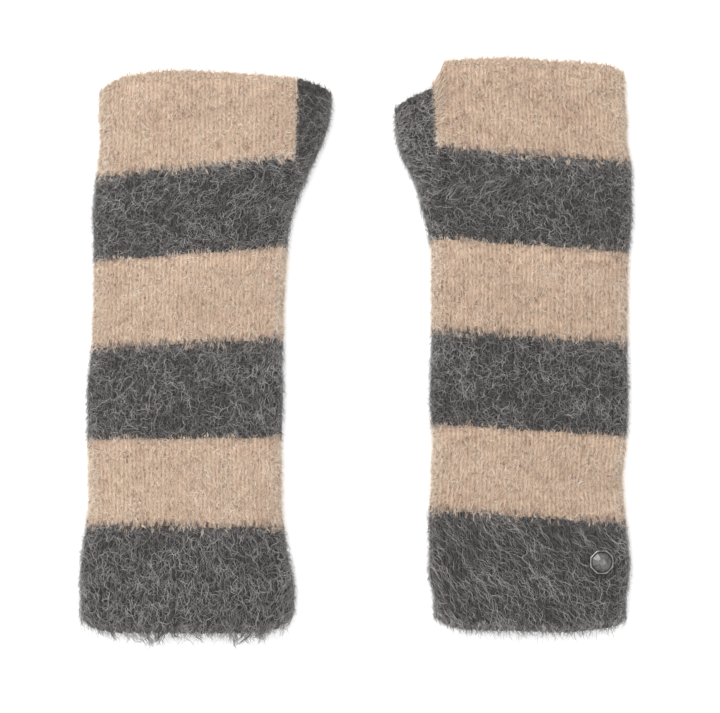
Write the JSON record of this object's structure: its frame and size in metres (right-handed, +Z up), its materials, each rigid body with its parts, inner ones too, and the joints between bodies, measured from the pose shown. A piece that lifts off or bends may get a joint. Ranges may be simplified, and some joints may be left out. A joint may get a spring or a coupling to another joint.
{
  "type": "fingerless gloves",
  "caption": "Pair of long fingerless gloves in brushed, striped knit, with separate thumb sleeves, laid flat side by side.",
  "frame": {"origin": "middle of the pair's footprint, on the surface the gloves lie on", "axes": "X across the pair, +Y towards the finger openings, +Z up"},
  "size_m": [0.275, 0.2863, 0.0131],
  "materials": {
    "beige_mohair": "brushed knit",
    "charcoal_mohair": "brushed knit",
    "charcoal_yarn": "plied yarn",
    "seam_yarn": "overlocked seam",
    "badge_metal": "dark pewter, faceted",
    "washer_steel": "plain"
  },
  "bodies": {
    "left_forearm": {"left_lower_wrist_band": "charcoal_mohair", "left_forearm_band": "beige_mohair", "left_cuff_band": "charcoal_mohair", "left_cuff_edge": "charcoal_mohair", "left_forearm_seam": "seam_yarn"},
    "left_hand": {"left_finger_edge": "beige_mohair", "left_finger_band": "beige_mohair", "left_palm_band": "charcoal_mohair", "left_wrist_band": "beige_mohair", "left_thumb_seam": "charcoal_yarn", "left_hand_seam": "seam_yarn"},
    "left_thumb": {"left_thumb_sleeve": "charcoal_mohair", "left_thumb_edge": "charcoal_mohair"},
    "right_forearm": {"right_lower_wrist_band": "charcoal_mohair", "right_forearm_band": "beige_mohair", "right_cuff_band": "charcoal_mohair", "right_cuff_edge": "charcoal_mohair", "right_forearm_seam": "seam_yarn", "right_badge_front": "badge_metal", "right_badge_washer": "washer_steel"},
    "right_hand": {"right_finger_edge": "beige_mohair", "right_finger_band": "beige_mohair", "right_palm_band": "charcoal_mohair", "right_wrist_band": "beige_mohair", "right_thumb_seam": "charcoal_yarn", "right_hand_seam": "seam_yarn"},
    "right_thumb": {"right_thumb_sleeve": "charcoal_mohair", "right_thumb_edge": "charcoal_mohair"}
  },
  "joints": [
    {"name": "left_wrist_flex", "type": "hinge", "parent": "left_forearm", "child": "left_hand", "pos_m": [-0.0805, 0.0015, 0.01265], "axis": [0.9988, 0.0494, 0], "range_deg": [0, 70]},
    {"name": "left_thumb_flex", "type": "hinge", "parent": "left_hand", "child": "left_thumb", "pos_m": [-0.02925, 0.10775, 0.0096], "axis": [-0.0194, -0.9998, 0], "range_deg": [0, 60]},
    {"name": "right_glove_lift", "type": "slide", "parent": "left_forearm", "child": "right_forearm", "axis": [0, 0, 1], "range_m": [0, 0.15]},
    {"name": "right_wrist_flex", "type": "hinge", "parent": "right_forearm", "child": "right_hand", "pos_m": [0.086, 0.00475, 0.01265], "axis": [0.9977, -0.0676, 0], "range_deg": [0, 70]},
    {"name": "right_thumb_flex", "type": "hinge", "parent": "right_hand", "child": "right_thumb", "pos_m": [0.03975, 0.0995, 0.0096], "axis": [-0.0431, 0.9991, 0], "range_deg": [0, 60]}
  ]
}
